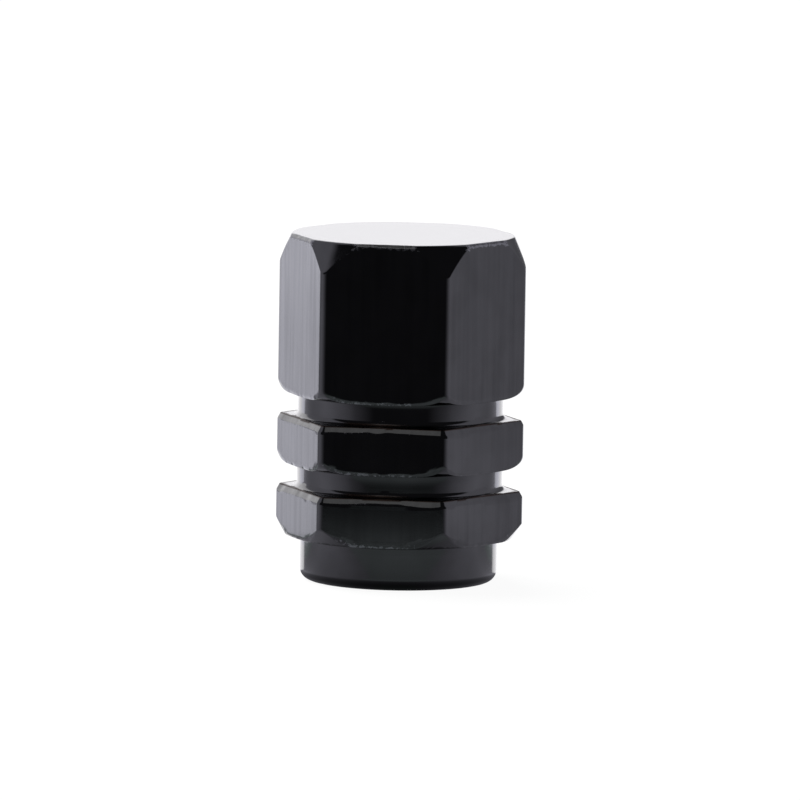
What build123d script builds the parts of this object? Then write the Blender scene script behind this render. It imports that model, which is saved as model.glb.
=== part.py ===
"""Tyre valve cap turned from hexagon bar, with a rubber sealing ring in its blind bore.

Millimetres, +Z up. The origin is at the middle of the foot, and a flat of the hexagon faces -Y.
"""
import os
from math import cos, hypot, radians, tan

from build123d import *

# Hexagon bar
across_flats = 11.0
corner_round = 0.5

# Heights of the bands, from the foot upwards
collar_height = 2.10
lower_flange_height = 2.59
lower_groove_height = 1.07
middle_flange_height = 2.52
upper_groove_height = 1.07
grip_height = 8.16

# Turned outside: depths are from the flats, the undersides' angle from the level, the others from the axis
collar_depth = 0.54
groove_depth = 0.34
groove_round = 0.12
foot_round = 0.50
bevel_angle = 35.0
bevel_height = 0.86
bevel_round = 0.30
underside_angle = 12.0
underside_round = 0.75
top_angle = 23.0
top_drop = 1.55
turning_clearance = 0.03

# Broken upper edges: width on the face above, and height on the flat
flange_break_width = 0.16
flange_break_height = 0.28
rim_break = 0.10

# Internal thread for the valve stem, as a plain bore at its minor diameter
thread_diameter = 7.747
thread_pitch = 0.794
thread_depth = 8.0
mouth_clearance = 0.15

# Sealing ring and its gland
ring_section = 1.5
ring_clearance = 0.04
gland_relief = 0.10

# Recess for the valve pin, with the drill's point at its end
recess_diameter = 4.6
recess_depth = 2.2
drill_point_angle = 118.0

# Worked out
THREAD_HEIGHT_FACTOR = 1.0825
collar_top = collar_height
lower_flange_top = collar_top + lower_flange_height
lower_groove_top = lower_flange_top + lower_groove_height
middle_flange_top = lower_groove_top + middle_flange_height
upper_groove_top = middle_flange_top + upper_groove_height
cap_height = upper_groove_top + grip_height

flat_radius = across_flats / 2
corner_radius = flat_radius / cos(radians(30)) - corner_round * (1 / cos(radians(30)) - 1)
turning_radius = corner_radius + turning_clearance
collar_radius = flat_radius - collar_depth
groove_radius = flat_radius - groove_depth
underside_rise = (turning_radius - groove_radius) * tan(radians(underside_angle))
bevel_radius = turning_radius - bevel_height * tan(radians(bevel_angle))
bevel_bottom = collar_top + (bevel_radius - collar_radius) * tan(radians(underside_angle))

bore_radius = (thread_diameter - THREAD_HEIGHT_FACTOR * thread_pitch) / 2
mouth_radius = thread_diameter / 2 + mouth_clearance
gland_radius = thread_diameter / 2 + gland_relief
gland_top = thread_depth + ring_section + 2 * ring_clearance
ring_radius = gland_radius - ring_clearance - ring_section / 2
recess_radius = recess_diameter / 2
recess_top = gland_top + recess_depth
drill_point = recess_radius / tan(radians(drill_point_angle / 2))

BASE = (Align.CENTER, Align.CENTER, Align.MIN)
INNERMOST, OUTERMOST = 0, -1
HEIGHT_SLACK = 1e-4


def disc(radius, bottom, top):
    """A round disc about the axis, between two heights."""
    return Pos(0, 0, bottom) * Cylinder(radius, top - bottom, align=BASE)


def cone(bottom_radius, top_radius, bottom, top):
    """A cut-off cone about the axis, between two heights."""
    return Pos(0, 0, bottom) * Cone(bottom_radius, top_radius, top - bottom, align=BASE)


def at_height(shapes, height):
    """The faces or edges that lie at one height."""
    return shapes.filter_by_position(Axis.Z, height - HEIGHT_SLACK, height + HEIGHT_SLACK)


def rounded_at(solid, height, radius, place=OUTERMOST):
    """The solid of revolution with one of its round edges at a height rounded."""
    circles = at_height(solid.edges(), height).filter_by(GeomType.CIRCLE)
    return fillet(circles.sort_by(SortBy.RADIUS)[place], radius)


def flange(bottom, top):
    """A band whose underside slopes out of the groove below it, with a rounded lower edge."""
    edge = bottom + underside_rise
    band = cone(groove_radius, turning_radius, bottom, edge) + disc(turning_radius, edge, top)
    return rounded_at(band, edge, underside_round)


def bevelled_flange():
    """The lowest band, whose underside slopes out of the collar up to a wide bevel."""
    underside = cone(collar_radius, bevel_radius, collar_top, bevel_bottom)
    bevel_top = bevel_bottom + bevel_height
    bevel = cone(bevel_radius, turning_radius, bevel_bottom, bevel_top)
    band = underside + bevel + disc(turning_radius, bevel_top, lower_flange_top)
    return rounded_at(band, bevel_bottom, bevel_round)


def hexagon_bar():
    """The drawn bar, with slightly rounded corners and a corner on +X."""
    section = RegularPolygon(flat_radius, 6, major_radius=False)
    return extrude(fillet(section.vertices(), corner_round), cap_height)


def grip():
    """The long flange for the fingers, sloped towards its top face."""
    slope_bottom = cap_height - top_drop - turning_clearance / tan(radians(top_angle))
    face_radius = turning_radius - (cap_height - slope_bottom) * tan(radians(top_angle))
    slope = cone(turning_radius, face_radius, slope_bottom, cap_height)
    return flange(upper_groove_top, slope_bottom) + slope


def turned_outside():
    """What the lathe leaves: a collar, two flanges, two grooves and the grip."""
    collar = rounded_at(disc(collar_radius, 0, lower_flange_top), 0, foot_round)
    lower_groove = disc(groove_radius, lower_flange_top, lower_groove_top)
    middle_flange = flange(lower_groove_top, middle_flange_top)
    upper_groove = disc(groove_radius, middle_flange_top, upper_groove_top)
    outside = collar + bevelled_flange() + lower_groove + middle_flange + upper_groove + grip()
    outside = rounded_at(outside, lower_flange_top, groove_round, INNERMOST)
    return rounded_at(outside, middle_flange_top, groove_round, INNERMOST)


def bore():
    """Mouth, thread bore, gland, pin recess and drill point, one above the other."""
    mouth = cone(mouth_radius, bore_radius, 0, mouth_radius - bore_radius)
    thread = disc(bore_radius, 0, thread_depth)
    gland = disc(gland_radius, thread_depth, gland_top)
    recess = disc(recess_radius, gland_top, recess_top)
    point = cone(recess_radius, 0, recess_top, recess_top + drill_point)
    return mouth + thread + gland + recess + point


def outer_edges(solid, height):
    """The edges of the hexagon at one height, without the round ones of the turning."""
    inside_flats = flat_radius - groove_depth / 4
    edges = at_height(solid.edges(), height)
    return edges.filter_by(lambda edge: hypot((edge @ 0.5).X, (edge @ 0.5).Y) > inside_flats)


def break_flange(solid, height):
    """The solid with the upper edges of one flange broken."""
    above = at_height(solid.faces(), height).sort_by(SortBy.AREA)[-1]
    return chamfer(outer_edges(solid, height), flange_break_width, flange_break_height, reference=above)


def cap_body():
    """The bar inside the turned outside, with its upper edges broken and its bore cut."""
    body = hexagon_bar() & turned_outside()
    body = break_flange(body, lower_flange_top)
    body = break_flange(body, middle_flange_top)
    body = chamfer(outer_edges(body, cap_height), rim_break)
    return body - bore()


def sealing_ring():
    """The rubber ring, which the thread's end holds in its gland."""
    return Pos(0, 0, gland_top - ring_clearance - ring_section / 2) * Torus(ring_radius, ring_section / 2)


os.makedirs("parts", exist_ok=True)
export_step(cap_body(), "parts/cap_body.step")
export_step(sealing_ring(), "parts/sealing_ring.step")
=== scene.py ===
"""Looks of a tyre valve cap: anodised hexagon bar with turned grooves, a valve thread and a sealing ring.

Metres, +Z up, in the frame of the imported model. Sizes of the cap are in millimetres, as a maker writes them,
and MM turns them into metres.
"""

import logging
import math
from dataclasses import dataclass
from enum import Enum
from typing import Any, Callable, Sequence

import bpy
import numpy as np
from mathutils import Matrix, Vector


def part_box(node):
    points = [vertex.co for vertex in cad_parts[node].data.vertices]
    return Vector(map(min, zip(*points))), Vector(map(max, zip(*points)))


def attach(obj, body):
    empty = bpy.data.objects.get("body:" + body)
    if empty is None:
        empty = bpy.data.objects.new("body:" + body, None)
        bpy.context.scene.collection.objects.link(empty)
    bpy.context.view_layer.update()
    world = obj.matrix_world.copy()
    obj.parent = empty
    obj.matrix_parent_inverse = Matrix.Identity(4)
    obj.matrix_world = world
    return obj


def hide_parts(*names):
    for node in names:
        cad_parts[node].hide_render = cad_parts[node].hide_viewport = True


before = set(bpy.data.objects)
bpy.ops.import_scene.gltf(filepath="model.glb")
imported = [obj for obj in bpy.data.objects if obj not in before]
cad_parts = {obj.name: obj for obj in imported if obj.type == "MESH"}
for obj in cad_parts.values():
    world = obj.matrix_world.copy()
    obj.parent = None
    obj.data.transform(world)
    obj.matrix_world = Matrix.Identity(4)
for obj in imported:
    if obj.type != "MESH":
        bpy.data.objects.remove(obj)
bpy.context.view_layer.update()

MM = 0.001
BODY = "root"
Array = np.ndarray
Pair = tuple[float, float]
Triple = tuple[float, float, float]
Row = tuple[Any, Any]
log = logging.getLogger("valve_cap")


class Spacing(Enum):
    """How points are spread along a stretch of an outline."""

    EVEN = "even"
    CLOSE_AT_ENDS = "close at the ends"

    def shares(self, count: int) -> Array:
        """Shares of the stretch in rising order, from 0 up to, but without, 1."""
        even = np.arange(count) / count
        return even if self is Spacing.EVEN else (1 - np.cos(np.pi * even)) / 2


class MeshAttribute(Enum):
    """Values that the meshes carry for their finishes."""

    EDGE = "edge_break"
    TURNED = "turned_share"
    # Painted shade: a dark line on each flange top beside its broken edge, and dark patches at the grooves'
    # feet
    PAINTED_SHADE = "painted_shade"


def math_method(operation: str, reflected: bool = False) -> Callable[["Value", "Value | float"], "Value"]:
    """Makes a method of Value that adds a Math node.

    Args:
        operation: Name of the Math node's operation.
        reflected: Whether the value comes second in it.

    Returns:
        The method.
    """
    def method(value: "Value", other: "Value | float") -> "Value":
        """The result of the operation on the two."""
        terms = (other, value) if reflected else (value, other)
        return value.graph.value("ShaderNodeMath", 0, {"operation": operation}, dict(enumerate(terms)))

    return method


class Value:
    """A shader socket that takes part in Python expressions."""

    def __init__(self, graph: "Graph", socket: bpy.types.NodeSocket) -> None:
        """Keeps the socket with the graph that it belongs to."""
        self.graph = graph
        self.socket = socket

    __add__ = __radd__ = math_method("ADD")
    __sub__ = math_method("SUBTRACT")
    __rsub__ = math_method("SUBTRACT", reflected=True)
    __mul__ = __rmul__ = math_method("MULTIPLY")
    __truediv__ = math_method("DIVIDE")
    __rtruediv__ = math_method("DIVIDE", reflected=True)
    __pow__ = math_method("POWER")
    __rpow__ = math_method("POWER", reflected=True)
    larger = math_method("MAXIMUM")

    def step(self, low: float, high: float) -> "Value":
        """A smooth step, which is 0 up to the low value and 1 from the high one."""
        sockets = {"Value": self, "From Min": low, "From Max": high}
        return self.graph.value("ShaderNodeMapRange", "Result", {"interpolation_type": "SMOOTHSTEP"}, sockets)


Term = Value | float


class Graph:
    """The nodes of one material or world."""

    def __init__(self, tree: bpy.types.NodeTree) -> None:
        """Starts with an empty tree."""
        tree.nodes.clear()
        self.tree = tree

    def node(self, kind: str, settings: dict[str, Any], sockets: dict[str | int, Any]) -> bpy.types.Node:
        """Adds a node.

        Args:
            kind: The node's type.
            settings: Its own properties, and the stops of a ramp, which are set first.
            sockets: Values or links of its inputs, by name or number.

        Returns:
            The node.
        """
        made = self.tree.nodes.new(kind)
        for name, setting in settings.items():
            if name == "stops":
                self._stops(made.color_ramp, setting)
            else:
                setattr(made, name, setting)
        for name, value in sockets.items():
            if isinstance(value, Value):
                value = value.socket
            if isinstance(value, bpy.types.NodeSocket):
                self.tree.links.new(value, made.inputs[name])
            else:
                made.inputs[name].default_value = value
        return made

    @staticmethod
    def _stops(ramp: bpy.types.ColorRamp, stops: Sequence[tuple[float, Sequence[float]]]) -> None:
        """Gives a ramp its stops.

        Args:
            ramp: The ramp, as it comes with its node.
            stops: Place and colour of each stop, from left to right.
        """
        while len(ramp.elements) < len(stops):
            ramp.elements.new(1.0)
        for element, (place, colour) in zip(ramp.elements, stops):
            element.position = place
            element.color = (*colour, 1.0)

    def value(
        self, kind: str, output: str | int, settings: dict[str, Any], sockets: dict[str | int, Any],
    ) -> Value:
        """Adds a node and takes one of its outputs as a value."""
        return Value(self, self.node(kind, settings, sockets).outputs[output])

    def axes(self, vector: bpy.types.NodeSocket | Value) -> tuple[Value, Value, Value]:
        """The three parts of a vector."""
        parts = self.node("ShaderNodeSeparateXYZ", {}, {"Vector": vector}).outputs
        return Value(self, parts[0]), Value(self, parts[1]), Value(self, parts[2])

    def vector(self, x: Term, y: Term, z: Term) -> Value:
        """A vector of three values."""
        return self.value("ShaderNodeCombineXYZ", "Vector", {}, {"X": x, "Y": y, "Z": z})

    def along(self, vector: Any, axis: Triple) -> Value:
        """How far a vector goes along an axis."""
        return self.value("ShaderNodeVectorMath", "Value", {"operation": "DOT_PRODUCT"}, {0: vector, 1: axis})

    def scaled(self, colour: Any, share: Any) -> Value:
        """A colour times a share, part by part."""
        return self.value("ShaderNodeVectorMath", "Vector", {"operation": "MULTIPLY"}, {0: colour, 1: share})

    def lighter(self, first: Any, second: Any) -> Value:
        """The lighter of two colours, part by part."""
        return self.value("ShaderNodeVectorMath", "Vector", {"operation": "MAXIMUM"}, {0: first, 1: second})

    def mixed(self, share: Term, first: Any, second: Any) -> Value:
        """A colour between two colours, each as numbers or as a link, by the share of the second."""
        return self.value("ShaderNodeMix", 2, {"data_type": "RGBA"}, {"Factor": share, 6: first, 7: second})

    def ramp(self, place: Value, stops: Sequence[tuple[float, Sequence[float]]]) -> Value:
        """A colour that changes with a place between 0 and 1."""
        return self.value("ShaderNodeValToRGB", "Color", {"stops": stops}, {"Fac": place})

    def noise(self, vector: Value, scale: float, layers: float, strength: float = 0.5) -> Value:
        """Smooth noise between 0 and 1, with a number of finer layers and their strength."""
        sockets = {"Vector": vector, "Scale": scale, "Detail": layers, "Roughness": strength}
        return self.value("ShaderNodeTexNoise", "Fac", {"noise_dimensions": "3D"}, sockets)

    def attribute(self, attribute: MeshAttribute) -> Value:
        """A value that the mesh carries."""
        return self.value("ShaderNodeAttribute", "Fac", {"attribute_name": attribute.value}, {})

    def place_in_millimetres(self) -> tuple[Value, Value, Value]:
        """The point on the object, in millimetres from the frame's origin."""
        x, y, z = self.axes(self.node("ShaderNodeTexCoord", {}, {}).outputs["Object"])
        return x / MM, y / MM, z / MM

    def rays(self) -> tuple[Value, Value]:
        """What kind of ray meets the surroundings.

        Returns:
            Whether it shows them as they are, to the camera or through glass, and whether it is glossy.
        """
        rays = self.node("ShaderNodeLightPath", {}, {}).outputs
        seen, through = Value(self, rays["Is Camera Ray"]), Value(self, rays["Is Transmission Ray"])
        return seen.larger(through), Value(self, rays["Is Glossy Ray"])


def rgba(colour: Sequence[float]) -> tuple[float, float, float, float]:
    """A colour with full alpha."""
    return (colour[0], colour[1], colour[2], 1.0)


def new_graph(name: str) -> tuple[bpy.types.Material, Graph]:
    """Starts a material.

    Args:
        name: Its name.

    Returns:
        The material and its nodes, which are still to be added.
    """
    material = bpy.data.materials.new(name)
    material.use_nodes = True
    return material, Graph(material.node_tree)


def placed(name: str, data: bpy.types.ID) -> bpy.types.Object:
    """Adds an object to the scene.

    Args:
        name: Its name.
        data: Its mesh, light or camera.

    Returns:
        The object.
    """
    made = bpy.data.objects.new(name, data)
    bpy.context.scene.collection.objects.link(made)
    return made


@dataclass(frozen=True)
class AnodisedFinish:
    """Glossy black anodising on drawn and turned aluminium, with bare metal where the edges are rubbed, and
    dark brown painted shade where the mesh marks it.
    """

    black: Triple = (0.030, 0.030, 0.032)
    worn: Triple = (0.30, 0.30, 0.32)
    # Colour of the painted shade
    painted_shade: Triple = (0.055, 0.038, 0.032)
    roughness: float = 0.16
    roughness_change: float = 0.10
    # Roughness of the rubbed edges and of the painted shade
    worn_and_shaded_roughness: float = 0.42
    coat_roughness: float = 0.05
    coat_ior: float = 1.6
    coat_worn_off: float = 0.8
    streaks_per_mm: float = 3.0
    streak_length_mm: float = 9.0
    streak_layers: float = 3.0
    streak_depth_mm: float = 0.0011
    streak_dulling: float = 0.24
    dull_from: Pair = (0.35, 0.75)
    rings_per_mm: float = 9.0
    ring_layers: float = 2.0
    ring_depth_mm: float = 0.0006
    ridges_per_mm: float = 2.6
    ridge_offset: float = 4.0
    ridge_depth_mm: float = 0.008
    clouds_per_mm: float = 0.6
    cloud_layers: float = 2.0
    cloud_from: Pair = (0.35, 0.65)
    cloud_lightening: float = 1.35
    cloud_share: float = 0.3
    specks_per_mm: float = 5.5
    speck_layers: float = 4.0
    speck_strength: float = 0.65
    nick_depth_mm: float = 0.008
    wear_from: Pair = (0.50, 0.72)

    def material(self) -> bpy.types.Material:
        """Builds the finish.

        Returns:
            The material.
        """
        material, g = new_graph("black_anodised")
        x, y, z = g.place_in_millimetres()
        radius = (x * x + y * y) ** 0.5
        turned = g.attribute(MeshAttribute.TURNED)
        edge = g.attribute(MeshAttribute.EDGE)
        # Painted shade: where it is 1 the finish turns dark brown, rough and without coat
        painted_shade = g.attribute(MeshAttribute.PAINTED_SHADE)

        drawn_out = g.vector(x, y, z / (self.streaks_per_mm * self.streak_length_mm))
        drawn = g.noise(drawn_out, self.streaks_per_mm, self.streak_layers)
        rings = g.noise(g.vector(radius, z, 0.0), self.rings_per_mm, self.ring_layers)
        ridges = g.noise(g.vector(radius, z, self.ridge_offset), self.ridges_per_mm, 0.0)
        cloud = g.noise(g.vector(x, y, z), self.clouds_per_mm, self.cloud_layers)
        specks = g.noise(g.vector(x, y, z), self.specks_per_mm, self.speck_layers, self.speck_strength)
        wear = (edge * specks).step(*self.wear_from)

        marks = drawn + (rings - drawn) * turned
        ground = rings * self.ring_depth_mm + ridges * self.ridge_depth_mm
        depth = drawn * self.streak_depth_mm * (1.0 - turned) + ground * turned
        depth = depth + specks * edge * self.nick_depth_mm
        lighter_black = rgba([part * self.cloud_lightening for part in self.black])
        black = g.mixed(cloud.step(*self.cloud_from), rgba(self.black), lighter_black)
        base = g.mixed(painted_shade, g.mixed(wear, black, rgba(self.worn)), rgba(self.painted_shade))
        uneven = marks * (1.0 - self.cloud_share) + cloud * self.cloud_share - 0.5
        rough = self.roughness + self.roughness_change * uneven
        rough = rough + (self.worn_and_shaded_roughness - self.roughness) * wear.larger(painted_shade)
        dull = self.streak_dulling * drawn.step(*self.dull_from) * (1.0 - turned)
        shader = g.node("ShaderNodeBsdfPrincipled", {}, {
            "Base Color": base,
            "Metallic": 1.0,
            "Roughness": rough,
            "Coat Weight": (1.0 - dull) * (1.0 - self.coat_worn_off * wear) * (1.0 - painted_shade),
            "Coat Roughness": self.coat_roughness,
            "Coat IOR": self.coat_ior,
            "Normal": g.value("ShaderNodeBump", "Normal", {}, {"Distance": MM, "Height": depth}),
        })
        g.node("ShaderNodeOutputMaterial", {}, {"Surface": shader.outputs["BSDF"]})
        return material


@dataclass(frozen=True)
class RubberFinish:
    """Moulded black rubber with a faint grey bloom."""

    black: Triple = (0.020, 0.020, 0.021)
    bloom: Triple = (0.055, 0.055, 0.058)
    bloom_per_mm: float = 1.3
    bloom_from: Pair = (0.45, 0.75)
    roughness: float = 0.50
    roughness_change: float = 0.18
    grain_per_mm: float = 12.0
    grain_depth_mm: float = 0.004
    layers: float = 3.0

    def material(self) -> bpy.types.Material:
        """Builds the finish.

        Returns:
            The material.
        """
        material, g = new_graph("moulded_rubber")
        place = g.vector(*g.place_in_millimetres())
        grain = g.noise(place, self.grain_per_mm, self.layers)
        cloud = g.noise(place, self.bloom_per_mm, self.layers)
        bump = {"Distance": self.grain_depth_mm * MM, "Height": grain}
        shader = g.node("ShaderNodeBsdfPrincipled", {}, {
            "Base Color": g.mixed(cloud.step(*self.bloom_from), rgba(self.black), rgba(self.bloom)),
            "Roughness": self.roughness + self.roughness_change * (cloud - 0.5),
            "Normal": g.value("ShaderNodeBump", "Normal", {}, bump),
        })
        g.node("ShaderNodeOutputMaterial", {}, {"Surface": shader.outputs["BSDF"]})
        return material


@dataclass(frozen=True)
class Line:
    """A straight stretch of an outline, with the material on its left. Millimetres."""

    start: Array
    end: Array

    def distance(self, radius: Array, height: Array) -> Array:
        """Distance to the stretch, which is negative on the material's side.

        Args:
            radius: Radius of each point.
            height: Height of each point.

        Returns:
            The distances.
        """
        run = self.end - self.start
        across, up = radius - self.start[0], height - self.start[1]
        share = np.clip((across * run[0] + up * run[1]) / (run @ run), 0, 1)
        apart = np.hypot(across - run[0] * share, up - run[1] * share)
        return np.where(across * run[1] >= up * run[0], apart, -apart)


@dataclass(frozen=True)
class Arc:
    """A rounded corner of an outline, whose turn is positive where the material bulges. Millimetres."""

    centre: Array
    rounding: float
    middle_angle: float
    turn: float

    def distance(self, radius: Array, height: Array) -> Array:
        """Distance to the arc, which is negative on the material's side.

        Args:
            radius: Radius of each point.
            height: Height of each point.

        Returns:
            The distances, without end where a point lies beyond the arc's ends.
        """
        across, up = radius - self.centre[0], height - self.centre[1]
        off = np.mod(np.arctan2(up, across) - self.middle_angle + math.pi, math.tau) - math.pi
        apart = math.copysign(1, self.turn) * (np.hypot(across, up) - self.rounding)
        return np.where(np.abs(off) <= abs(self.turn) / 2, apart, np.inf)


class TurnedOutline:
    """The outline that a lathe leaves, as radius and height in millimetres."""

    def __init__(self, corners: Sequence[Triple]) -> None:
        """Rounds the corners and joins them.

        Args:
            corners: Radius, height and rounding of each corner, round the closed outline.
        """
        self.stretches: list[Line | Arc] = []
        places = [np.array(corner[:2]) for corner in corners]
        ends: list[tuple[Array, Array]] = []
        for index, (here, corner) in enumerate(zip(places, corners)):
            ends.append(self._corner(places[index - 1], here, places[(index + 1) % len(places)], corner[2]))
        for (_, leave), (arrive, _) in zip(ends, ends[1:] + ends[:1]):
            self.stretches.append(Line(leave, arrive))

    def _corner(self, before: Array, here: Array, after: Array, rounding: float) -> tuple[Array, Array]:
        """Adds the arc of one corner.

        Args:
            before: The corner before it.
            here: The corner itself.
            after: The corner after it.
            rounding: Radius of its arc, or 0 for a sharp corner.

        Returns:
            Where the outline arrives at the corner and where it leaves it.
        """
        if not rounding:
            return here, here
        back = (before - here) / np.linalg.norm(before - here)
        on = (after - here) / np.linalg.norm(after - here)
        half = math.acos(np.clip(back @ on, -1, 1)) / 2
        middle = (back + on) / np.linalg.norm(back + on)
        centre = here + middle * rounding / math.sin(half)
        turn = math.copysign(math.pi - 2 * half, on[0] * back[1] - on[1] * back[0])
        self.stretches.append(Arc(centre, rounding, math.atan2(-middle[1], -middle[0]), turn))
        return here + back * rounding / math.tan(half), here + on * rounding / math.tan(half)

    def distance(self, radius: Array, height: Array) -> Array:
        """Distance to the outline, which is negative inside.

        Args:
            radius: Radius of each point.
            height: Height of each point.

        Returns:
            The distances.
        """
        nearest = np.full(radius.shape, np.inf)
        for stretch in self.stretches:
            apart = stretch.distance(radius, height)
            nearest = np.where(np.abs(apart) < np.abs(nearest), apart, nearest)
        return nearest


@dataclass(frozen=True)
class HexagonBar:
    """Drawn hexagon bar with rounded corners, one of them on +X. Millimetres."""

    flat_radius: float
    corner_round: float

    SIDES = 6
    SIDE = math.tau / SIDES
    HALF_SIDE = SIDE / 2

    @property
    def inner_flat(self) -> float:
        """Distance from the axis to the line through the centres of the corners' arcs."""
        return self.flat_radius - self.corner_round

    @property
    def inner_corner(self) -> float:
        """Distance along a flat from its middle to the centre of a corner's arc."""
        return self.inner_flat * math.tan(self.HALF_SIDE)

    @property
    def flat_end(self) -> float:
        """Angle from the middle of a flat to where its corner's arc begins."""
        return math.atan2(self.inner_corner, self.flat_radius)

    def off_flat(self, angle: Array) -> Array:
        """Angle from the middle of the nearest flat."""
        return np.mod(angle, self.SIDE) - self.HALF_SIDE

    def distance(self, x: Array, y: Array) -> Array:
        """Distance to the bar's surface, which is negative inside.

        Args:
            x: First coordinate of each point.
            y: Second coordinate of each point.

        Returns:
            The distances.
        """
        off = self.off_flat(np.arctan2(y, x))
        radius = np.hypot(x, y)
        out = radius * np.cos(off) - self.inner_flat
        along = np.maximum(np.abs(radius * np.sin(off)) - self.inner_corner, 0)
        return np.hypot(np.maximum(out, 0), along) + np.minimum(out, 0) - self.corner_round

    def reach(self, angle: Array) -> Array:
        """Radius of the bar's surface in each direction.

        Args:
            angle: Direction, from +X.

        Returns:
            The radii.
        """
        off = np.abs(self.off_flat(angle))
        forward = self.inner_flat * np.cos(off) + self.inner_corner * np.sin(off)
        aside = self.inner_flat * np.sin(off) - self.inner_corner * np.cos(off)
        arc = forward + np.sqrt(np.maximum(self.corner_round**2 - aside**2, 0))
        return np.where(off <= self.flat_end, self.flat_radius / np.cos(off), arc)

    def directions(self, along_flat: int, round_corner: int) -> Array:
        """Directions of a mesh's columns, closer together at the corners.

        Args:
            along_flat: Number of steps along a flat.
            round_corner: Number of steps round a corner.

        Returns:
            The angles, in rising order over one turn.
        """
        end = self.flat_end
        flat = -end + 2 * end * Spacing.EVEN.shares(along_flat)
        corner = end + (self.SIDE - 2 * end) * Spacing.EVEN.shares(round_corner)
        sector = np.concatenate((flat, corner)) + self.HALF_SIDE
        return np.concatenate([sector + side * self.SIDE for side in range(self.SIDES)])


@dataclass(frozen=True)
class Underside:
    """The underside of a flange: a slope out of a narrower wall, rounded up into the turned wall or a bevel.

    Lengths are in millimetres. The slope's angle is from the level, the bevel's from the axis.
    """

    inner_radius: float
    wall_radius: float
    bottom: float
    angle: float
    rounding: float
    bevel_height: float = 0.0
    bevel_angle: float = 0.0

    @property
    def corners(self) -> list[Triple]:
        """The slope's outer end, and the bevel's if there is one.

        Returns:
            Radius, height and rounding of each.
        """
        knee = self.wall_radius - self.bevel_height * math.tan(self.bevel_angle)
        low = self._slope(knee)
        bevel = [(self.wall_radius, low + self.bevel_height, 0)] if self.bevel_height else []
        return [(knee, low, self.rounding), *bevel]

    def _slope(self, radius: Any) -> Any:
        """Height of the slope without its rounding."""
        return self.bottom + (radius - self.inner_radius) * math.tan(self.angle)

    def height(self, radius: Any) -> Any:
        """Height of the underside.

        Args:
            radius: Where it is read.

        Returns:
            The height at each radius.
        """
        knee, low, rounding = self.corners[0]
        tangent = rounding * math.tan((math.pi / 2 - self.bevel_angle - self.angle) / 2)
        start, end = knee - tangent * math.cos(self.angle), knee + tangent * math.sin(self.bevel_angle)
        centre = start - rounding * math.sin(self.angle)
        middle = self._slope(start) + rounding * math.cos(self.angle)
        arc = middle - np.sqrt(np.maximum(rounding**2 - (radius - centre) ** 2, 0))
        bevel = low + (radius - knee) / math.tan(self.bevel_angle) if self.bevel_angle else arc
        return np.where(radius < start, self._slope(radius), np.where(radius < end, arc, bevel))

    def rows(self, reach: Array, count: int) -> list[Row]:
        """Rows of a mesh along the underside, from its inner wall to the bar's surface."""
        radii = self.inner_radius + np.outer(Spacing.CLOSE_AT_ENDS.shares(count), reach - self.inner_radius)
        return [(radius, self.height(radius)) for radius in radii]


class Unevenness:
    """Drawn values round the axis, between -1 and 1, at a coarse and a fine scale.

    Each scale has a weight, and a number of values for each knot of the coarse one.
    """

    SCALES = ((0.55, 1), (0.45, 3))

    def __init__(self, seed: int, knots: int) -> None:
        """Draws the values from a seed, with a number of knots in one turn."""
        draw = np.random.default_rng(seed)
        self.scales = [(weight, draw.uniform(-1, 1, times * knots)) for weight, times in self.SCALES]

    def at(self, angle: Array) -> Array:
        """The drawn value in each direction.

        Args:
            angle: Direction, from +X.

        Returns:
            The values.
        """
        total = np.zeros(np.shape(angle))
        for weight, values in self.scales:
            place = np.mod(angle, math.tau) / math.tau * len(values)
            first = np.floor(place).astype(int)
            share = place - first
            share = share * share * (3 - 2 * share)
            low, high = values[first % len(values)], values[(first + 1) % len(values)]
            total += weight * (low + (high - low) * share)
        return total


@dataclass(frozen=True)
class RubbedEdge:
    """A lower edge of the flats that handling has rubbed into a narrow band. Millimetres."""

    height: float
    band: float
    share_uneven: float
    unevenness: Unevenness
    span: float = 0.7

    def at(self, angle: Array, height: Array) -> Array:
        """Height of the band on the flat in each direction, which fades away from the edge."""
        fade = np.clip(2 - 2 * np.abs(height - self.height) / self.span, 0, 1)
        return self.band * fade * (1 + self.share_uneven * self.unevenness.at(angle))


@dataclass(frozen=True)
class BrokenEdge:
    """An upper edge of the flats that a file has broken into a narrow facet. Millimetres."""

    height: float
    width: float
    drop: float
    share_uneven: float
    unevenness: Unevenness
    below: float = 1.2
    above: float = 0.4
    far_inside: float = -9.0

    def distance(self, bar: Array, angle: Array, height: Array) -> Array:
        """Distance to the facet, which is negative inside.

        Args:
            bar: Distance of each point to the bar.
            angle: Direction of each point.
            height: Height of each point.

        Returns:
            The distances.
        """
        length = math.hypot(self.width, self.drop)
        depth = self.width * self.drop / length * (1 + self.share_uneven * self.unevenness.at(angle))
        apart = (self.drop * bar + self.width * (height - self.height)) / length + depth
        nearby = (height > self.height - self.below) & (height < self.height + self.above)
        return np.where(nearby, apart, self.far_inside)


def path(*stops: tuple[Any, Any, int]) -> list[Row]:
    """Rows of a mesh along straight stretches, closer together at the ends of each, without the last stop.

    Args:
        stops: Radius and height of each stop, and the number of rows from it to the next.

    Returns:
        Radius and height of each row.
    """
    rows: list[Row] = []
    for (radius, height, count), (next_radius, next_height, _) in zip(stops, stops[1:]):
        for share in Spacing.CLOSE_AT_ENDS.shares(count):
            rows.append((radius + (next_radius - radius) * share, height + (next_height - height) * share))
    return rows


def around(rows: Sequence[Row], angle: Array) -> Array:
    """Points round the axis, by row and column, from the radius and height of each row."""
    flat = [(radius * np.cos(angle), radius * np.sin(angle), height + 0 * angle) for radius, height in rows]
    return np.stack([np.stack(row, axis=-1) for row in flat])


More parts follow.
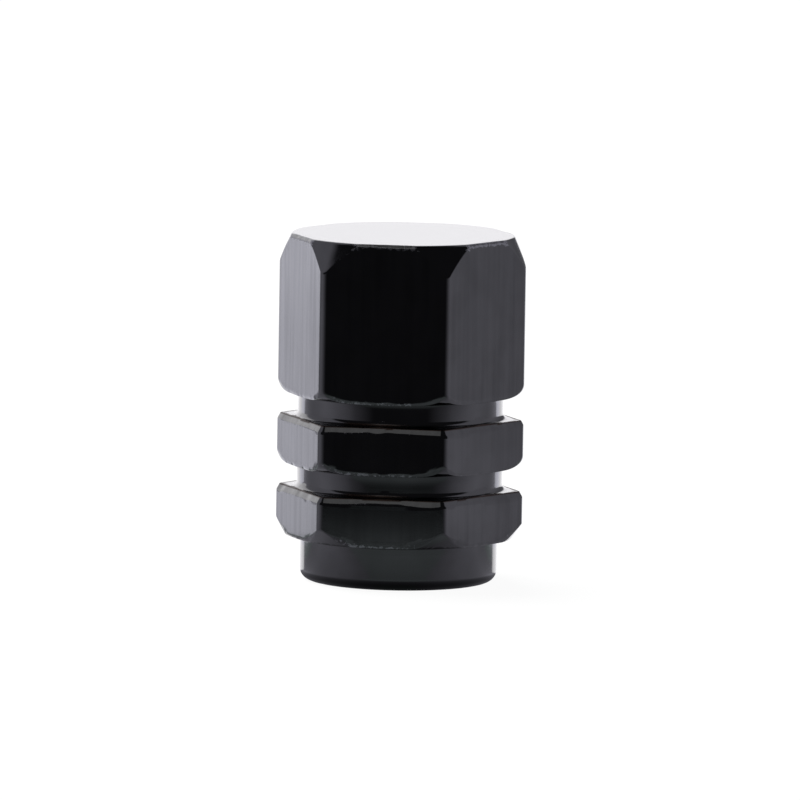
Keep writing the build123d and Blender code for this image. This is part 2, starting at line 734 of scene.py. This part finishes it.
class Shell:
    """A closed mesh in the making, from rows of points round the axis. Millimetres."""

    MERGED_DIGITS = 5

    def __init__(self) -> None:
        """Starts empty."""
        self.points = np.empty((0, 3))
        self.normals = np.empty((0, 3))
        self.marks = {attribute: np.empty(0) for attribute in MeshAttribute}
        self.faces: list[list[int]] = []

    def band(
        self, points: Array, normals: Array | None = None, marks: dict[MeshAttribute, Array] | None = None,
    ) -> Array:
        """Adds rows of points and the faces between them.

        Args:
            points: The points, by row and column.
            normals: Their normals, or None to take those of the mesh.
            marks: Values of the points, by attribute.

        Returns:
            The points' numbers, by row and column.
        """
        rows, columns, _ = points.shape
        index = len(self.points) + np.arange(rows * columns).reshape(rows, columns)
        normals = np.full(points.shape, np.nan) if normals is None else normals
        self.points = np.concatenate((self.points, points.reshape(-1, 3)))
        self.normals = np.concatenate((self.normals, normals.reshape(-1, 3)))
        for attribute, before in self.marks.items():
            values = np.zeros(rows * columns) if marks is None else marks[attribute].reshape(-1)
            self.marks[attribute] = np.concatenate((before, values))
        right = np.roll(index, -1, axis=1)
        faces = np.stack((index[:-1], right[:-1], right[1:], index[1:]), axis=-1)
        self.faces.extend(faces.reshape(-1, 4).tolist())
        return index

    def bridge(self, inner: Array, outer: Array) -> None:
        """Joins two flat rings.

        Args:
            inner: Numbers of the inner ring's points.
            outer: Numbers of the outer ring's points, a whole number of times as many.
        """
        each = len(outer) // len(inner)
        for place, (here, there) in enumerate(zip(inner, np.roll(inner, -1))):
            far = [outer[(place * each + step) % len(outer)] for step in range(each, -1, -1)]
            self.faces.append([int(number) for number in (here, there, *far)])

    def to_object(self, name: str) -> bpy.types.Object:
        """Makes the mesh, with points that coincide made one.

        Args:
            name: Name of the piece.

        Returns:
            The piece, linked to the scene.
        """
        rounded = np.round(self.points, self.MERGED_DIGITS)
        _, first, merged = np.unique(rounded, axis=0, return_index=True, return_inverse=True)
        merged = merged.reshape(-1)
        faces = [list(dict.fromkeys(merged[face].tolist())) for face in self.faces]
        mesh = bpy.data.meshes.new(name)
        mesh.from_pydata((self.points[first] * MM).tolist(), [], [face for face in faces if len(face) > 2])
        for attribute, values in self.marks.items():
            layer = mesh.attributes.new(attribute.value, "FLOAT", "POINT")
            layer.data.foreach_set("value", values[first].astype(np.float32))
        mesh.shade_smooth()
        own = np.array([vertex.normal for vertex in mesh.vertices])
        given = self.normals[first]
        known = np.isfinite(given).all(axis=1, keepdims=True)
        mesh.normals_split_custom_set_from_vertices(np.where(known, given, own).tolist())
        return placed(name, mesh)


@dataclass
class CapBody:
    """The cap itself: hexagon bar turned outside and bored, with the valve thread in its bore.

    Lengths are in millimetres and angles in degrees. A lean is the angle and the height of a groove's wall
    where it leans outwards.
    """

    across_flats: float
    cap_height: float
    corner_round: float = 0.5
    collar_top: float = 2.16
    lower_flange_top: float = 4.69
    lower_groove_top: float = 5.80
    middle_flange_top: float = 8.28
    upper_groove_top: float = 9.39
    collar_depth: float = 0.54
    groove_depth: float = 0.34
    lower_groove_lean: Pair = (4.5, 0.28)
    lower_groove_widening: float = 0.016
    upper_groove_lean: Pair = (8.0, 0.14)
    lean_curve: float = 0.95
    groove_round: float = 0.30
    foot_round: float = 0.60
    bevel_angle: float = 35.0
    bevel_height: float = 0.86
    bevel_round: float = 0.15
    underside_angle: float = 6.0
    underside_round: float = 0.75
    top_angle: float = 23.0
    top_drop: float = 1.55
    turning_clearance: float = 0.03
    flange_break_width: float = 0.16
    flange_break_height: float = 0.28
    flange_break_uneven: float = 0.30
    rim_break_width: float = 0.10
    rim_break_height: float = 0.143
    rim_break_uneven: float = 0.25
    least_round: float = 0.02
    facet_round: float = 0.03
    rubbed_band: float = 0.15
    rubbed_uneven: float = 0.30
    rubbed_slack: float = 0.03
    rubbed_tilt: float = 24.0
    # Painted shade: a line on the flange tops beside the broken edges, and patches at the grooves' feet, by
    # reach, height and contrast
    shade_line_reach: Pair = (-0.14, 0.03)
    shade_line_height: float = 0.045
    foot_shade_reach: Pair = (0.02, 0.25)
    foot_shade_height: float = 0.20
    foot_shade_contrast: float = 3.0
    wear_patches: float = 0.30
    rim_wear: float = 0.60
    wear_width: float = 0.12
    thread_diameter: float = 7.747
    thread_pitch: float = 0.794
    thread_depth: float = 8.0
    thread_height_factor: float = 1.0825
    thread_crest: float = 0.25
    thread_flank: float = 0.3125
    mouth_clearance: float = 0.15
    gland_height: float = 1.58
    gland_relief: float = 0.10
    recess_diameter: float = 4.6
    recess_depth: float = 2.2
    drill_point_angle: float = 118.0

    # Seed and number of knots of each draw
    RUBBED_DRAWS = ((11, 45), (12, 45), (13, 45))
    PATCH_DRAW = (2033, 14)
    BREAK_DRAWS = ((21, 22), (22, 22), (23, 30))

    # Columns of the mesh along a flat and round a corner, of which the bore takes every third
    FLAT_COLUMNS, CORNER_COLUMNS, BORE_COLUMN_STEP = 56, 10, 3

    # Rows of the mesh along each stretch of the outside and of the bore
    FOOT_ROWS, COLLAR_ROWS, UNDERSIDE_ROWS, RUBBED_ROWS, FLAT_ROWS = 10, 8, 15, 5, 9
    FACET_ROWS, SHOULDER_ROWS, GROOVE_ROWS = 7, 7, 14
    GRIP_ROWS, SLOPE_ROWS, RIM_ROWS, FACE_ROWS = 16, 13, 6, 12
    BORE_ROWS, THREAD_ROWS_PER_TURN = 7, 8

    # How the rows settle on the surface with its rounded edges
    SETTLING_STEPS, LEAST_STEEPNESS, SLOPE_STEP = 6, 0.25, 1e-4

    def __post_init__(self) -> None:
        """Works out the bar, the undersides, the turned outline and the edges."""
        self.bar = HexagonBar(self.across_flats / 2, self.corner_round)
        corner_radius = float(self.bar.reach(np.array(0.0)))
        self.turning_radius = corner_radius + self.turning_clearance
        self.collar_radius = self.bar.flat_radius - self.collar_depth
        self.groove_radius = self.bar.flat_radius - self.groove_depth
        self.top_slope = math.tan(math.radians(self.top_angle))
        self.top_radius = corner_radius - self.top_drop * self.top_slope
        self.bore_radius = (self.thread_diameter - self.thread_height_factor * self.thread_pitch) / 2
        self.mouth_radius = self.thread_diameter / 2 + self.mouth_clearance
        self.gland_radius = self.thread_diameter / 2 + self.gland_relief

        wall, groove = self.turning_radius, self.groove_radius
        angle, rounding = math.radians(self.underside_angle), self.underside_round
        bevel = self.bevel_round, self.bevel_height, math.radians(self.bevel_angle)
        self.lower = Underside(self.collar_radius, wall, self.collar_top, angle, *bevel)
        self.middle = Underside(groove, wall, self.lower_groove_top, angle, rounding)
        self.upper = Underside(groove, wall, self.upper_groove_top, angle, rounding)
        self.outline = self._turned_outline()

        rubbed = self.rubbed_band, self.rubbed_uneven
        self.rubbed_edges = [
            RubbedEdge(float(underside.height(self.bar.flat_radius)), *rubbed, Unevenness(*draw))
            for underside, draw in zip((self.lower, self.middle, self.upper), self.RUBBED_DRAWS)
        ]
        # Draw for the wear patches and for the painted shade patches
        self.wear_and_shade_patches = Unevenness(*self.PATCH_DRAW)
        flange = self.flange_break_width, self.flange_break_height, self.flange_break_uneven
        rim = self.rim_break_width, self.rim_break_height, self.rim_break_uneven
        breaks = (self.lower_flange_top, *flange), (self.middle_flange_top, *flange), (self.cap_height, *rim)
        self.broken_edges = [
            BrokenEdge(*sizes, Unevenness(*draw)) for sizes, draw in zip(breaks, self.BREAK_DRAWS)
        ]

    def _turned_outline(self) -> TurnedOutline:
        """The outline of what the lathe leaves, which reaches past the axis.

        Returns:
            The outline.
        """
        past_axis = -self.collar_radius
        slope_bottom = self.cap_height - (self.turning_radius - self.top_radius) / self.top_slope
        return TurnedOutline([
            (past_axis, 0, 0),
            (self.collar_radius, 0, self.foot_round),
            (self.collar_radius, self.lower.bottom, 0),
            *self.lower.corners,
            (self.turning_radius, self.lower_flange_top, 0),
            (self.groove_radius, self.lower_flange_top, self.groove_round),
            *self._leaning_wall(self.middle, *self.lower_groove_lean, self.lower_groove_widening),
            *self.middle.corners,
            (self.turning_radius, self.middle_flange_top, 0),
            (self.groove_radius, self.middle_flange_top, self.groove_round),
            *self._leaning_wall(self.upper, *self.upper_groove_lean),
            *self.upper.corners,
            (self.turning_radius, slope_bottom, 0),
            (self.top_radius, self.cap_height, self.rim_break_height),
            (past_axis, self.cap_height, 0),
        ])

    def _leaning_wall(
        self, underside: Underside, angle: float, lean_height: float, widening: float = 0.0,
    ) -> list[Triple]:
        """The top of a groove's wall, which leans outwards in a wide curve up to the underside above it.

        Args:
            underside: The underside above the groove.
            angle: Angle of the lean from the axis.
            lean_height: Height of the leaning part.
            widening: How much wider than the groove's foot the wall is where the lean begins.

        Returns:
            The two corners where the lean begins and ends.
        """
        lean = math.radians(angle)
        begin = self.groove_radius + widening
        end = begin + lean_height * math.tan(lean)
        curve = self.lean_curve * lean_height / math.tan(lean / 2)
        return [(begin, underside.bottom - lean_height, curve), (end, float(underside.height(end)), 0)]

    @staticmethod
    def _meet(first: Array, second: Array, rounding: float) -> Array:
        """Distance to what two solids have in common, with a rounded edge between them."""
        beyond = np.hypot(np.maximum(first + rounding, 0), np.maximum(second + rounding, 0))
        return np.minimum(np.maximum(first, second), -rounding) + beyond

    def _surfaces(self, points: Array) -> tuple[Array, Array, Array, Array]:
        """Distances to the bar, to the facets of its broken edges, to the turned outline and to rubbed edges.

        Args:
            points: The points, as rows of three numbers.

        Returns:
            The four distances of each point, which are negative inside.
        """
        x, y, z = points[..., 0], points[..., 1], points[..., 2]
        angle = np.arctan2(y, x)
        bar, turned = self.bar.distance(x, y), self.outline.distance(np.hypot(x, y), z)
        facet = np.max([edge.distance(bar, angle, z) for edge in self.broken_edges], axis=0)
        band = sum(edge.at(angle, z) for edge in self.rubbed_edges) - self.rubbed_slack
        tilt = math.radians(self.rubbed_tilt)
        return bar, facet, turned, bar * math.cos(tilt) + (turned + band) * math.sin(tilt)

    def _distance(self, points: Array) -> Array:
        """Distance to the outside with its rounded edges, which is negative inside.

        Args:
            points: The points, as rows of three numbers.

        Returns:
            The distances.
        """
        bar, facet, turned, rubbed = self._surfaces(points)
        unrubbed = self._meet(self._meet(bar, facet, self.facet_round), turned, self.least_round)
        return self._meet(unrubbed, rubbed, self.least_round)

    def _slope(self, points: Array) -> Array:
        """Direction out of the surface, as long as the distance changes fast.

        Args:
            points: The points, as rows of three numbers.

        Returns:
            The direction at each point.
        """
        steps = self.SLOPE_STEP * np.eye(3)
        rises = [self._distance(points + step) - self._distance(points - step) for step in steps]
        return np.stack(rises, axis=-1) / (2 * self.SLOPE_STEP)

    def _outside_rows(self, reach: Array) -> list[Row]:
        """Rows from the foot to the middle of the top face, on the outside without its rounded edges.

        Args:
            reach: Radius of the bar in each direction.

        Returns:
            Radius and height of each row.
        """
        collar, groove, foot = self.collar_radius, self.groove_radius, self.foot_round
        turns = math.pi / 2 * Spacing.EVEN.shares(self.FOOT_ROWS)
        rows: list[Row] = [
            (collar - foot * (1 - math.sin(turn)), foot * (1 - math.cos(turn))) for turn in turns
        ]
        rows += path((collar, foot, self.COLLAR_ROWS), (collar, self.lower.bottom, 0))
        flanges = (
            (self.lower, self.lower_flange_top, self.lower_groove_top),
            (self.middle, self.middle_flange_top, self.upper_groove_top),
        )
        for underside, top, groove_top in flanges:
            edge = underside.height(reach)
            rows += underside.rows(reach, self.UNDERSIDE_ROWS)
            rows += path(
                (reach, edge, self.RUBBED_ROWS),
                (reach, edge + self.rubbed_band, self.FLAT_ROWS),
                (reach, top - self.flange_break_height, self.FACET_ROWS),
                (reach - self.flange_break_width, top, self.SHOULDER_ROWS),
                (groove, top, self.GROOVE_ROWS),
                (groove, groove_top, 0),
            )
        edge, rim_low = self.upper.height(reach), self.cap_height - self.rim_break_height
        rows += self.upper.rows(reach, self.UNDERSIDE_ROWS)
        slope_bottom = np.minimum(rim_low, self.cap_height - (reach - self.top_radius) / self.top_slope)
        rim_radius = np.minimum(reach, self.top_radius + self.rim_break_height * self.top_slope)
        face_radius = np.minimum(reach, self.top_radius) - self.rim_break_height
        rows += path(
            (reach, edge, self.RUBBED_ROWS),
            (reach, edge + self.rubbed_band, self.GRIP_ROWS),
            (reach, slope_bottom, self.SLOPE_ROWS),
            (rim_radius, rim_low, self.RIM_ROWS),
            (face_radius, self.cap_height, self.FACE_ROWS),
            (0, self.cap_height, 0),
        )
        return [*rows, (0, self.cap_height)]

    def _outside(self, angle: Array) -> Array:
        """Points of the outside with its rounded edges.

        Args:
            angle: Direction of each column.

        Returns:
            The points, by row and column.
        """
        points = around(self._outside_rows(self.bar.reach(angle)), angle)
        moved, middle = points[:-1], points[-1:]
        for _ in range(self.SETTLING_STEPS):
            slope = self._slope(moved)
            steepness = np.maximum((slope**2).sum(axis=-1), self.LEAST_STEEPNESS)
            moved = moved - slope * (self._distance(moved) / steepness)[..., None]
        return np.concatenate((moved, middle))

    def _thread(self, angle: Array, height: float) -> Array:
        """Radius of the threaded wall, which the mouth's chamfer cuts.

        Args:
            angle: Direction of each column.
            height: Height of the row.

        Returns:
            The radii.
        """
        phase = np.mod(height / self.thread_pitch - angle / math.tau, 1)
        rise = np.clip((phase - self.thread_crest) / self.thread_flank, 0, 1)
        fall = np.clip((1 - phase) / self.thread_flank, 0, 1)
        depth = self.thread_diameter / 2 - self.bore_radius
        return np.maximum(self.bore_radius + depth * np.minimum(rise, fall), self.mouth_radius - height)

    def _inside(self, angle: Array) -> Array:
        """Points of the bore, from the drill's point to the mouth.

        Args:
            angle: Direction of each column.

        Returns:
            The points, by row and column.
        """
        recess, gland, depth = self.recess_diameter / 2, self.gland_radius, self.thread_depth
        gland_top = depth + self.gland_height
        recess_top = gland_top + self.recess_depth
        point = recess_top + recess / math.tan(math.radians(self.drill_point_angle / 2))
        corners = (
            (0, point), (recess, recess_top), (recess, gland_top), (gland, gland_top), (gland, depth),
            (self._thread(angle, depth), depth),
        )
        rows = path(*((*corner, self.BORE_ROWS) for corner in corners))
        heights = np.linspace(depth, 0, round(depth / self.thread_pitch * self.THREAD_ROWS_PER_TURN))
        return around([*rows, *((self._thread(angle, height), height) for height in heights)], angle)

    def _marks(self, points: Array) -> dict[MeshAttribute, Array]:
        """How near an edge each point lies, how far it was turned rather than drawn, and where shade is
        painted.

        Args:
            points: Points of the outside.

        Returns:
            The values by attribute.
        """
        bar, facet, turned, rubbed = self._surfaces(points)
        broken = np.maximum(bar, facet)
        nearest = np.maximum(np.minimum(bar, facet), np.minimum(broken, turned))
        nearest = np.maximum(nearest, rubbed)
        x, y, z = points[..., 0], points[..., 1], points[..., 2]
        above = np.abs(z[..., None] - np.array((self.lower_flange_top, self.middle_flange_top))).min(axis=-1)
        # Painted shade line on each flange top beside its broken edge
        on_edge = (facet > self.shade_line_reach[0]) & (facet < self.shade_line_reach[1]) & (above < self.shade_line_height)
        # Painted shade patches at the grooves' feet, which follow the same draw as the wear patches
        outward = np.hypot(x, y) - self.groove_radius
        in_foot = (outward > self.foot_shade_reach[0]) & (outward < self.foot_shade_reach[1])
        in_foot = in_foot & (above < self.foot_shade_height) & (turned > broken)
        patches = self.wear_and_shade_patches.at(np.arctan2(y, x))
        on_rim = z > self.cap_height - 2 * self.rim_break_height
        worn = 1 + np.where(on_rim, self.rim_wear, self.wear_patches * patches)
        foot_shade = np.where(in_foot, np.clip(self.foot_shade_contrast * patches, 0, 1), 0.0)
        return {
            MeshAttribute.EDGE: np.clip(1 + nearest / self.wear_width, 0, 1) * worn,
            MeshAttribute.TURNED: np.clip(0.5 + (turned - broken) / self.wear_width, 0, 1),
            MeshAttribute.PAINTED_SHADE: np.where(on_edge, 1.0, foot_shade),
        }

    def build(self) -> bpy.types.Object:
        """Makes the piece that stands for the CAD node.

        Returns:
            The piece.
        """
        angle = self.bar.directions(self.FLAT_COLUMNS, self.CORNER_COLUMNS)
        inside, outside = self._inside(angle[::self.BORE_COLUMN_STEP]), self._outside(angle)
        slope = self._slope(outside)
        normals = slope / np.linalg.norm(slope, axis=-1, keepdims=True)
        normals[-1] = (0, 0, 1)
        plain = np.zeros(inside.shape[:2])
        shell = Shell()
        marks = {MeshAttribute.EDGE: plain, MeshAttribute.TURNED: plain + 1, MeshAttribute.PAINTED_SHADE: plain}
        bore = shell.band(inside, marks=marks)
        skin = shell.band(outside, normals, self._marks(outside))
        shell.bridge(bore[-1], skin[0])
        piece = shell.to_object("threaded_cap_body")
        piece.data.materials.append(AnodisedFinish().material())
        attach(piece, BODY)
        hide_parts("cap_body")
        return piece


@dataclass
class SealingRing:
    """The rubber ring, with the fine flash that its mould leaves inside and outside. Millimetres."""

    outer_radius: float
    section: float
    middle_height: float
    flash: float = 0.02
    flash_width: float = 0.07
    steps_round: int = 144
    steps_section: int = 48

    def build(self) -> bpy.types.Object:
        """Makes the piece that stands for the CAD node.

        Returns:
            The piece.
        """
        angle = math.tau * Spacing.EVEN.shares(self.steps_round)
        turn = np.linspace(-math.pi, math.pi, self.steps_section + 1)
        off_parting = np.abs(np.mod(turn + math.pi / 2, math.pi) - math.pi / 2)
        wall = self.section / 2 - self.flash * (1 - np.exp(-((off_parting / self.flash_width) ** 2)))
        radius = self.outer_radius - self.section / 2 + wall * np.cos(turn)
        height = self.middle_height + wall * np.sin(turn)
        shell = Shell()
        shell.band(around(list(zip(radius, height)), angle))
        piece = shell.to_object("moulded_sealing_ring")
        piece.data.materials.append(RubberFinish().material())
        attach(piece, BODY)
        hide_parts("sealing_ring")
        return piece


@dataclass(frozen=True)
class Studio:
    """A white floor, a soft lamp, pale surroundings that are dark on the camera's side, and the camera.

    The tones of floor and walls are those that the polished metal reflects, by how far a direction faces
    the camera, from straight away, -1, to straight towards it, 1. The floor glows with them for reflections
    only. The near tones and the shares go by the distance from the cap's axis, in millimetres: the near tones
    paint a shadow round the foot and a pool of light in front of it, and the shares paint the floor darker
    near the cap and lighter far off.
    """

    floor_half_m: float = 1.5
    floor_white: float = 0.80
    floor_shading: float = 0.05
    lamp_side_m: float = 0.30
    lamp_power: float = 5.0
    lamp_place: Triple = (-0.16, 0.10, 0.34)
    plain_white: Triple = (1.0, 1.0, 1.0)
    tint: Triple = (1.0, 0.99, 1.12)
    white: Triple = (1.07, 1.06, 1.09)
    side_white: Triple = (1.09, 1.09, 1.22)
    side_flat_angle: float = 60.0
    white_line_mm: Pair = (-6.35, -6.05)
    white_behind: Pair = (0.28, 0.36)
    white_from_mm: Pair = (5.0, 6.5)
    fringe_turn: float = 145.5
    fringe_line_mm: Pair = (-4.95, -4.55)
    fringe_mm: Pair = (17.0, 24.0)
    plain_white_mm: Pair = (15.0, 19.0)
    plain_white_behind: Pair = (0.76, 0.86)
    near_tint: Triple = (0.90, 1.0, 1.03)
    near_shift: float = 0.34
    near_shift_mm: Pair = (10.0, 30.0)
    near_shift_facing: Pair = (0.0, 0.4)
    far_mm: float = 160.0
    white_wall_behind: Pair = (0.60, 0.68)
    white_wall_to_right: Pair = (0.14, 0.26)
    dark_overhead: Pair = (0.80, 0.92)
    card_tone: float = 0.55
    card_towards: Triple = (0.575, 0.257, 0.777)
    card_edge: Pair = (0.960, 0.985)
    camera_azimuth: float = 9.3
    camera_elevation: float = 6.75
    camera_roll: float = 0.9
    camera_distance_m: float = 0.85
    camera_lens_mm: float = 760.6
    aim_height_mm: float = 9.095
    aim_aside_mm: float = -0.035

    FLOOR_TONES = (
        (-0.70, 0.42), (-0.50, 0.34), (-0.375, 0.36), (-0.225, 0.46), (-0.035, 0.60), (0.17, 0.60),
        (0.42, 0.45), (0.53, 0.36), (0.64, 0.22), (0.77, 0.12), (0.87, 0.035),
    )
    WALL_TONES = ((-0.88, 0.11), (-0.60, 0.34), (-0.20, 0.50), (0.09, 0.57), (0.21, 0.035))
    # Painted shadow round the foot and painted pool of light in front of it, seen only in reflections
    NEAR_SHADOW_AND_LIGHT_TONES = (
        (5.0, 0.035), (5.6, 0.05), (6.1, 0.09), (6.7, 0.32), (8.0, 0.27), (10.0, 0.235), (13.0, 0.28),
        (21.0, 0.36), (31.0, 0.15), (41.0, 0.04), (55.0, 0.0),
    )
    # Shares that paint the floor darker near the cap, seen only in reflections
    SIDE_SHARES = ((5.3, 0.15), (6.5, 0.72), (10.0, 0.72), (35.0, 1.0))
    WHITE_SHARES = ((25.0, 0.93), (62.0, 1.04), (95.0, 1.05), (115.0, 1.08), (145.0, 1.24))

    @property
    def towards_camera(self) -> Triple:
        """Level direction from the cap to the camera."""
        azimuth = math.radians(self.camera_azimuth)
        return math.sin(azimuth), -math.cos(azimuth), 0.0

    def _tone(self, g: Graph, facing: Value, tones: Sequence[Pair]) -> Value:
        """Tone of the surroundings by how far a direction faces the camera."""
        stops = [((place + 1) / 2, [tone * part for part in self.tint]) for place, tone in tones]
        return g.ramp(facing * 0.5 + 0.5, stops)

    def _by_distance(self, g: Graph, off_axis: Value, tones: Sequence[Pair]) -> Value:
        """Tone or share by distance from the cap's axis, in millimetres."""
        stops = [(place / self.far_mm, [tone] * 3) for place, tone in tones]
        return g.ramp(off_axis / self.far_mm, stops)

    def world(self) -> None:
        """Surroundings that are white to the camera, with a pale card overhead for reflections."""
        world = bpy.data.worlds.new("studio")
        world.use_nodes = True
        g = Graph(world.node_tree)
        plain, _ = g.rays()
        direction = g.node("ShaderNodeTexCoord", {}, {}).outputs["Generated"]
        _, _, up = g.axes(direction)
        facing = g.along(direction, self.towards_camera)
        forward, left, above = self.card_towards
        ahead, aside, _ = self.towards_camera
        towards_card = (ahead * forward + aside * left, aside * forward - ahead * left, above)
        card = g.along(direction, towards_card).step(*self.card_edge) * self.card_tone
        below = 1.0 - up.step(*self.dark_overhead)
        walls = g.scaled(self._tone(g, facing, self.WALL_TONES), g.vector(below, below, below))
        tone = g.lighter(walls, g.vector(card, card, card))
        not_right = 1.0 - g.along(direction, (-aside, ahead, 0.0)).step(*self.white_wall_to_right)
        tone = g.mixed((0.0 - facing).step(*self.white_wall_behind) * not_right, tone, rgba(self.white))
        colour = g.mixed(plain, tone, rgba(self.plain_white))
        background = g.node("ShaderNodeBackground", {}, {"Color": colour, "Strength": 1.0})
        g.node("ShaderNodeOutputWorld", {}, {"Surface": background.outputs[0]})
        bpy.context.scene.world = world

    def _floor_material(self) -> bpy.types.Material:
        """White to the camera, with the cap's shadow, and to reflections a glow toned as the surroundings,
        with a painted shadow and painted light near the cap.

        Returns:
            The material.
        """
        material, g = new_graph("white_floor")
        plain, glossy = g.rays()
        place = g.node("ShaderNodeNewGeometry", {}, {}).outputs["Position"]
        x, y, _ = g.axes(place)
        off_axis = ((x * x + y * y) ** 0.5) / MM
        outward = g.value("ShaderNodeVectorMath", "Vector", {"operation": "NORMALIZE"}, {0: place})
        facing = g.along(outward, self.towards_camera)
        # Painted shadow round the foot and painted pool of light near the cap, for reflections only
        near_shadow_and_light = g.scaled(self._by_distance(g, off_axis, self.NEAR_SHADOW_AND_LIGHT_TONES), self.near_tint)
        shift = self.near_shift * (1.0 - off_axis.step(*self.near_shift_mm))
        shifted = facing - shift * facing.step(*self.near_shift_facing)
        # Painted darkening of the floor near the cap, for reflections only
        side_share = self._by_distance(g, off_axis, self.SIDE_SHARES)
        sides = g.scaled(self._tone(g, shifted, self.FLOOR_TONES), side_share)
        tinted = g.scaled(self._by_distance(g, off_axis, self.WHITE_SHARES), self.side_white)
        far_behind = (0.0 - facing).step(*self.plain_white_behind)
        plainer = (1.0 - off_axis.step(*self.plain_white_mm)).larger(far_behind)
        white = g.mixed(plainer, tinted, rgba(self.white))
        tone = g.mixed(self._white_share(g, place, facing, off_axis), g.lighter(sides, near_shadow_and_light), white)
        colour = g.mixed(plain, tone, rgba(self.plain_white))
        glow = g.node("ShaderNodeEmission", {}, {"Color": colour, "Strength": 1.0})
        matt = g.node("ShaderNodeBsdfDiffuse", {}, {"Color": rgba([self.floor_white] * 3)})
        share = glossy.larger(plain * (1.0 - self.floor_shading))
        both = g.node("ShaderNodeMixShader", {}, {0: share, 1: matt.outputs[0], 2: glow.outputs[0]})
        g.node("ShaderNodeOutputMaterial", {}, {"Surface": both.outputs[0]})
        return material

    def _white_share(self, g: Graph, place: Any, facing: Value, off_axis: Value) -> Value:
        """Share of white on the floor behind the cap, on both sides up to what its side flats reflect.

        Args:
            g: The nodes that it is added to.
            place: The point on the floor.
            facing: How far it lies towards the camera, from -1 to 1.
            off_axis: Its distance from the cap's axis, in millimetres.

        Returns:
            The share.
        """
        ahead, aside, _ = self.towards_camera
        forward = g.along(place, self.towards_camera) / MM
        sideways = g.along(place, (aside, -ahead, 0.0)) / MM
        sideways = (sideways * sideways) ** 0.5

        def behind(degrees: float) -> Value:
            """How far the point lies behind the ray that a side at the cap's axis reflects by a turn."""
            turn = math.radians(degrees)
            return sideways * math.cos(turn) - forward * math.sin(turn)

        beyond_flats = behind(2 * (self.side_flat_angle + self.camera_azimuth)).step(*self.white_line_mm)
        beyond_collar = behind(self.fringe_turn).step(*self.fringe_line_mm)
        beyond_collar = beyond_collar.larger(off_axis.step(*self.fringe_mm))
        share = beyond_flats * beyond_collar * (0.0 - facing).step(*self.white_behind)
        return share * off_axis.step(*self.white_from_mm)

    def floor(self) -> None:
        """A plain floor under the cap's foot."""
        half = self.floor_half_m
        corners = [(-half, -half, 0), (half, -half, 0), (half, half, 0), (-half, half, 0)]
        mesh = bpy.data.meshes.new("floor")
        mesh.from_pydata(corners, [], [(0, 1, 2, 3)])
        mesh.materials.append(self._floor_material())
        floor = placed("floor", mesh)

    def lamp(self) -> None:
        """A soft lamp above and behind, which casts the cap's shadow."""
        light = bpy.data.lights.new("soft_lamp", "AREA")
        light.size = self.lamp_side_m
        light.energy = self.lamp_power
        lamp = placed("soft_lamp", light)
        lamp.location = self.lamp_place
        lamp.rotation_mode = "QUATERNION"
        lamp.rotation_quaternion = Vector(self.lamp_place).to_track_quat("Z", "Y")
        lamp.visible_glossy = False

    def camera(self) -> None:
        """The camera at the photograph's angle."""
        azimuth, elevation = math.radians(self.camera_azimuth), math.radians(self.camera_elevation)
        back = Vector(self.towards_camera) * math.cos(elevation) + Vector((0, 0, math.sin(elevation)))
        right = Vector((math.cos(azimuth), math.sin(azimuth), 0))
        upright = Matrix((right, back.cross(right), back)).transposed()
        data = bpy.data.cameras.new("camera")
        data.lens = self.camera_lens_mm
        camera = placed("camera", data)
        aim = Vector((0, 0, self.aim_height_mm * MM)) + right * self.aim_aside_mm * MM
        turn = upright @ Matrix.Rotation(math.radians(self.camera_roll), 3, "Z")
        camera.matrix_world = Matrix.Translation(aim + back * self.camera_distance_m) @ turn.to_4x4()
        bpy.context.scene.camera = camera

    def build(self) -> None:
        """Sets up everything round the cap."""
        self.world()
        self.floor()
        self.lamp()
        self.camera()
        bpy.context.scene.view_settings.view_transform = "Standard"


def main() -> None:
    """Builds the cap, its ring and the studio, and notes the sizes."""
    logging.basicConfig(level=logging.INFO, format="%(message)s")
    body_low, body_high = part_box("cap_body")
    ring_low, ring_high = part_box("sealing_ring")
    body = CapBody(across_flats=(body_high.y - body_low.y) / MM, cap_height=body_high.z / MM)
    ring = SealingRing(
        outer_radius=(ring_high.x - ring_low.x) / 2 / MM,
        section=(ring_high.z - ring_low.z) / MM,
        middle_height=(ring_high.z + ring_low.z) / 2 / MM,
    )
    for sub_assembly in (body, ring):
        piece = sub_assembly.build()
        log.info("%s: %d points, %d faces", piece.name, len(piece.data.vertices), len(piece.data.polygons))
    Studio().build()
    log.info("studio: floor, lamp, surroundings and camera")


if __name__ == "__main__":
    main()
